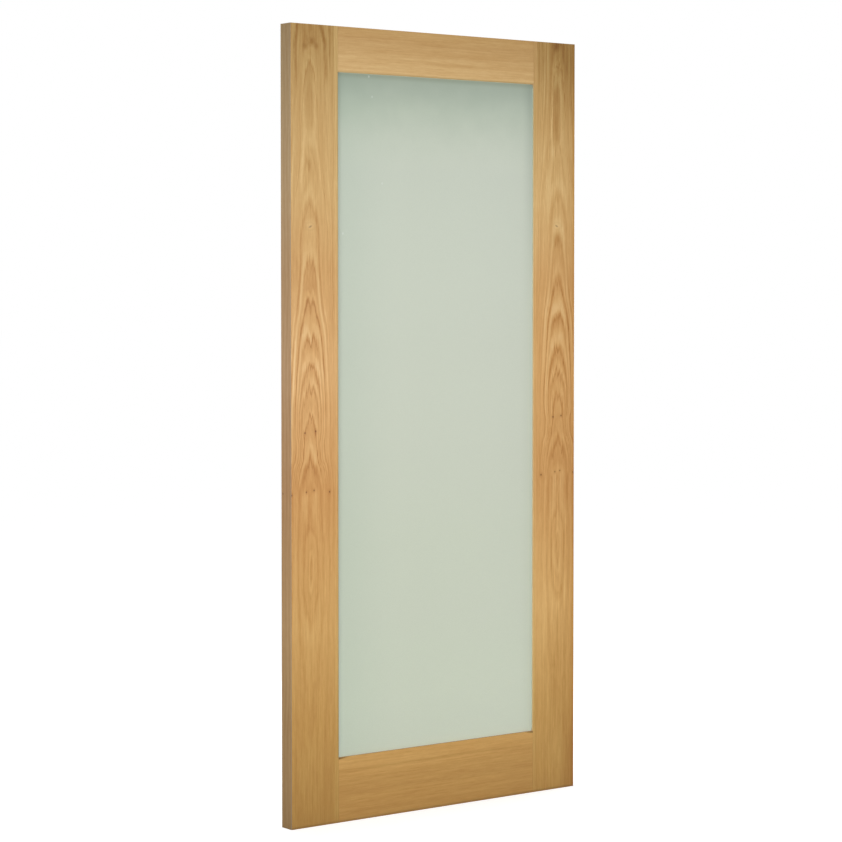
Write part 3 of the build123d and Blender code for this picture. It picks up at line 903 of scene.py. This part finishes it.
def soft_plain(name, low, high, roughness):
    """A matt moulded material with a slight mottle."""
    graph = Graph(name)
    x, y, z = graph.place()
    mottle = graph.noise(x / MOTTLE_SIZE, y / MOTTLE_SIZE, z / MOTTLE_SIZE, 3.0, 0.6) + 0.5
    grain = graph.noise(x / MOTTLE_GRAIN, y / MOTTLE_GRAIN, z / MOTTLE_GRAIN, 2.0)
    colour = graph.ramp(mottle, ((0.2, low), (0.8, high)))
    normal = graph.bump(grain, MOTTLE_RELIEF)
    return graph.surface(colour, grain * 0.1 + roughness, normal, Specular_IOR_Level=0.3)


# The painted shadow's colour and the tape's own pale colour; a noise's size and relief; and how far the
# painted shadow reaches along the foot and into the head's corners, and how far the noise moves its edge
TAPE_SHADOW = srgb(150, 118, 78)
TAPE_PALE = srgb(190, 206, 192)
TAPE_MOTTLE_SIZE, TAPE_MOTTLE_RELIEF = 9.0, 0.0001
TAPE_FOOT, TAPE_FOOT_WOBBLE = (10.0, 2.0), 4.0
TAPE_CORNER, TAPE_CORNER_WOBBLE = (12.0, 3.0), 3.0


def glazing_tape():
    """Clear sealing strip in the glass's own cool tone, with painted shadow along the foot and in the head's
    corners."""
    graph = Graph("glazing_tape")
    x, y, z = graph.place()
    shade_field = graph.noise(x / TAPE_MOTTLE_SIZE, y / TAPE_MOTTLE_SIZE, z / TAPE_MOTTLE_SIZE, 2.0)
    # Painted shadow along the foot and in the head's corners
    foot = (z - SIGHT_FOOT + shade_field * TAPE_FOOT_WOBBLE).smooth(*TAPE_FOOT)
    corner = (SIGHT_HEAD - z + from_sides(graph, x) + shade_field * TAPE_CORNER_WOBBLE).smooth(*TAPE_CORNER)
    colour = graph.mix(graph.math("MAXIMUM", foot, corner), TAPE_PALE, TAPE_SHADOW)
    return graph.surface(colour, shade_field * 0.1 + 0.6, graph.bump(shade_field, TAPE_MOTTLE_RELIEF), Specular_IOR_Level=0.3)


def assign(material, *names):
    """Gives nodes or pieces their material."""
    for name in names:
        mesh = bpy.data.objects[name].data
        mesh.materials.clear()
        mesh.materials.append(material)


# Each rail's veneer: the pitch and slope of its rings, and its seed
RAILS = {
    "top_rail_front_veneer": (17.0, 0.0008, 2.2),
    "bottom_rail_front_veneer": (24.0, -0.0009, 3.7),
    "top_rail_back_veneer": (18.0, -0.0007, 4.8),
    "bottom_rail_back_veneer": (22.0, 0.0011, 7.6),
}
# Straight-grained timber: its grain, the pitch and slope of its rings, their weight, its seed and its nodes
TIMBER = {
    "rail_lipping_oak": ("X", 6.0, 0.0008, 0.35, 9.4, ("top_rail_lipping", "bottom_rail_lipping")),
    "side_bead_oak": ("Z", 6.5, 0.0005, 0.4, 13.1, ("hinge_side_glazing_bead", "lock_side_glazing_bead")),
    "level_bead_oak": ("X", 6.5, 0.0005, 0.4, 14.7, ("top_glazing_bead", "bottom_glazing_bead")),
    "dowel_oak": ("X", 4.0, 0.0, 0.6, 16.9, ("joint_dowels",)),
}
BORDER_SEED = 8.2


def dress_wood():
    assign(stile_face("hinge_face_oak", "hinge", 1.3), "hinge_stile_front_veneer")
    assign(stile_face("lock_face_oak", "lock", 1.9), "lock_stile_front_veneer")
    assign(stile_face("hinge_back_oak", "hinge", 5.1, True), "hinge_stile_back_veneer")
    assign(stile_face("lock_back_oak", "lock", 6.4, True), "lock_stile_back_veneer")
    for node, (pitch, slope, seed) in RAILS.items():
        layers = soft_streaks(pitch, slope, seed)
        assign(oak(node + "_oak", "X", seed, layers, marks=rail_marks), node)
    upright = straight_rings(5.5, 0.0006, BORDER_SEED, "Z", 0.35)
    for side, tint in BORDER_TINTS.items():
        border = oak(side + "_border_oak", "Z", BORDER_SEED, upright, tint, border_marks, side)
        assign(border, side + "_stile_inner_lipping")
    assign(edge_oak("hinge", 11.6), "hinge_edge_lipping")
    assign(edge_oak("lock", 12.4), "lock_edge_lipping")
    for name, (grain, pitch, slope, weight, seed, nodes) in TIMBER.items():
        assign(oak(name, grain, seed, straight_rings(pitch, slope, seed, grain, weight)), *nodes)
    assign(laminated_core("stile_core", "Z"), "hinge_stile_core", "lock_stile_core")
    assign(laminated_core("rail_core", "X"), "top_rail_core", "bottom_rail_core")


def dress_glazing():
    assign(frosted_glass(), "glass_pane")
    assign(glazing_tape(), "front_glazing_tape", "back_glazing_tape")
    assign(soft_plain("setting_block", srgb(38, 38, 38), srgb(58, 58, 58), 0.7), "setting_blocks")


# Glazing pins on the back, in metres

PIN_RADIUS = 0.0009
PIN_PITCH = 0.22
PIN_END = 0.05
PIN_INSET = 0.0015
PIN_FLATNESS = 0.35
PIN_SEGMENTS, PIN_RINGS = 12, 6


def pin_places():
    """Where the beads are pinned, each as a point on the bead's flat."""
    low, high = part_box("hinge_side_glazing_bead")[0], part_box("lock_side_glazing_bead")[1]
    places = []
    for start, stop, level in ((low.x, high.x, True), (low.z, high.z, False)):
        length = stop - start - 2 * PIN_END
        count = max(2, round(length / PIN_PITCH) + 1)
        for index in range(count):
            along = start + PIN_END + length * index / (count - 1)
            if level:
                pair = ((along, low.z + PIN_INSET), (along, high.z - PIN_INSET))
            else:
                pair = ((low.x + PIN_INSET, along), (high.x - PIN_INSET, along))
            places += [Vector((x, high.y, z)) for x, z in pair]
    return places


def pin_head():
    """Points and faces of one flattened ball, in the same order each time."""
    points = [Vector((0.0, 0.0, PIN_RADIUS))]
    for ring in range(1, PIN_RINGS):
        polar = math.pi * ring / PIN_RINGS
        for segment in range(PIN_SEGMENTS):
            turn = 2 * math.pi * segment / PIN_SEGMENTS
            out = PIN_RADIUS * math.sin(polar)
            level = PIN_RADIUS * math.cos(polar)
            points.append(Vector((out * math.cos(turn), out * math.sin(turn) * PIN_FLATNESS, level)))
    points.append(Vector((0.0, 0.0, -PIN_RADIUS)))
    last = len(points) - 1
    faces = []
    for segment in range(PIN_SEGMENTS):
        beside = (segment + 1) % PIN_SEGMENTS
        faces.append((0, 1 + segment, 1 + beside))
        for ring in range(PIN_RINGS - 2):
            upper, lower = 1 + ring * PIN_SEGMENTS, 1 + (ring + 1) * PIN_SEGMENTS
            faces.append((upper + segment, lower + segment, lower + beside, upper + beside))
        faces.append((last, last - PIN_SEGMENTS + beside, last - PIN_SEGMENTS + segment))
    return points, faces


def glazing_pins():
    """Small domed pin heads, joined in one piece."""
    head_points, head_faces = pin_head()
    points, faces = [], []
    for place in pin_places():
        first = len(points)
        points += [place + point for point in head_points]
        faces += [[first + corner for corner in face] for face in head_faces]
    mesh = bpy.data.meshes.new("glazing_pins")
    mesh.from_pydata(points, [], faces)
    for polygon in mesh.polygons:
        polygon.use_smooth = True
    pins = bpy.data.objects.new("glazing_pins", mesh)
    bpy.context.scene.collection.objects.link(pins)
    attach(pins, "root")
    assign(soft_plain("pin_filler", srgb(150, 108, 62), srgb(172, 128, 78), 0.6), "glazing_pins")


# Studio

AMBIENT = 0.20
SKY = (1.0, 1.0, 1.0, 1.0)
FLOOR_REACH = 60.0
FLOOR_WHITE = (0.5, 0.5, 0.5, 1.0)
FLOOR_LIFT = (0.73, 0.90)
FLOOR_FADE = (0.1, 1.9)
LAMP_SPREAD = math.radians(150.0)
MIDDLE, FAR_EDGE = LEAF_HIGH.x / 2, LEAF_HIGH.x
# Each lamp's place, what it points at, its size in metres and its power in watts
LAMPS = {
    "key": ((MIDDLE, -2.0, 1.3), (MIDDLE, 0.0, 1.3), 0.9, 15.9),
    "edge_fill": ((-2.2, -1.0, 1.3), (0.0, 0.0, 1.3), 1.0, 18.5),
    "lock_fill": ((FAR_EDGE + 2.2, 0.6, 1.3), (FAR_EDGE, 0.0, 1.3), 1.0, 17.0),
    "top_fill": ((MIDDLE, 0.35, 4.3), (MIDDLE, 0.0, 2.0), 0.7, 18.0),
    "back_fill": ((MIDDLE, 2.4, 1.3), (MIDDLE, 0.0, 1.1), 1.2, 29.0),
}


def rays_that_see(tree):
    """1 for what the camera, gloss and glass see directly, and 0 for what only lights things."""
    path = tree.nodes.new("ShaderNodeLightPath")
    total = path.outputs["Is Camera Ray"]
    for name in ("Is Glossy Ray", "Is Transmission Ray"):
        node = tree.nodes.new("ShaderNodeMath")
        node.operation = "MAXIMUM"
        tree.links.new(total, node.inputs[0])
        tree.links.new(path.outputs[name], node.inputs[1])
        total = node.outputs[0]
    return total


def build_world():
    """An even white surround that lights the leaf softly and shows as plain white."""
    world = bpy.data.worlds.new("studio")
    bpy.context.scene.world = world
    world.use_nodes = True
    tree = world.node_tree
    tree.nodes.clear()
    output = tree.nodes.new("ShaderNodeOutputWorld")
    light = tree.nodes.new("ShaderNodeBackground")
    seen = tree.nodes.new("ShaderNodeBackground")
    mix = tree.nodes.new("ShaderNodeMixShader")
    light.inputs["Color"].default_value = SKY
    light.inputs["Strength"].default_value = AMBIENT
    seen.inputs["Color"].default_value = SKY
    seen.inputs["Strength"].default_value = 1.0
    tree.links.new(rays_that_see(tree), mix.inputs["Fac"])
    tree.links.new(light.outputs[0], mix.inputs[1])
    tree.links.new(seen.outputs[0], mix.inputs[2])
    tree.links.new(mix.outputs[0], output.inputs["Surface"])


def floor_material():
    """White to the eye, a little less so under the leaf, and pale to the light."""
    graph = Graph("floor_white")
    tree = graph.tree
    x, y, _ = graph.place()
    aside = x - LEAF_WIDTH / 2
    away = (aside * aside + y * y).root() / MM
    near, far = FLOOR_LIFT
    lift = away.smooth(*FLOOR_FADE) * (far - near) + near
    matt = tree.nodes.new("ShaderNodeBsdfDiffuse")
    glow = tree.nodes.new("ShaderNodeEmission")
    both = tree.nodes.new("ShaderNodeAddShader")
    matt.inputs["Color"].default_value = FLOOR_WHITE
    graph.feed(glow.inputs["Strength"], lift * Field(graph, rays_that_see(tree)))
    tree.links.new(matt.outputs[0], both.inputs[0])
    tree.links.new(glow.outputs[0], both.inputs[1])
    tree.links.new(both.outputs[0], graph.output.inputs["Surface"])
    return graph.material


def build_floor():
    """A pale floor that keeps the leaf's soft shadow."""
    mesh = bpy.data.meshes.new("floor")
    corners = [(x * FLOOR_REACH, y * FLOOR_REACH, 0) for x, y in ((-1, -1), (1, -1), (1, 1), (-1, 1))]
    mesh.from_pydata(corners, [], [(0, 1, 2, 3)])
    mesh.materials.append(floor_material())
    floor = bpy.data.objects.new("floor", mesh)
    bpy.context.scene.collection.objects.link(floor)


def build_lamps():
    """Square soft boxes, each pointed at a place."""
    for name, (place, aim, size, power) in LAMPS.items():
        data = bpy.data.lights.new(name, "AREA")
        data.shape = "SQUARE"
        data.size = size
        data.spread = LAMP_SPREAD
        data.energy = power
        lamp = bpy.data.objects.new(name, data)
        lamp.location = place
        lamp.rotation_euler = (Vector(aim) - Vector(place)).to_track_quat("-Z", "Y").to_euler()
        bpy.context.scene.collection.objects.link(lamp)


def build_camera():
    data = bpy.data.cameras.new("camera")
    data.sensor_width = SENSOR_MM
    data.lens = FOCAL_PIXELS / PHOTO_PIXELS * SENSOR_MM
    data.shift_y = SHIFT_PIXELS / PHOTO_PIXELS
    data.clip_end = 100.0
    camera = bpy.data.objects.new("camera", data)
    camera.location = CAMERA_PLACE
    level = math.cos(CAMERA_PITCH)
    forward = Vector((math.sin(CAMERA_YAW) * level, math.cos(CAMERA_YAW) * level, math.sin(CAMERA_PITCH)))
    camera.rotation_euler = forward.to_track_quat("-Z", "Y").to_euler()
    bpy.context.scene.collection.objects.link(camera)
    bpy.context.scene.camera = camera


build_camera()
build_world()
build_floor()
build_lamps()
dress_wood()
dress_glazing()
glazing_pins()
bpy.context.scene.view_settings.view_transform = "Standard"
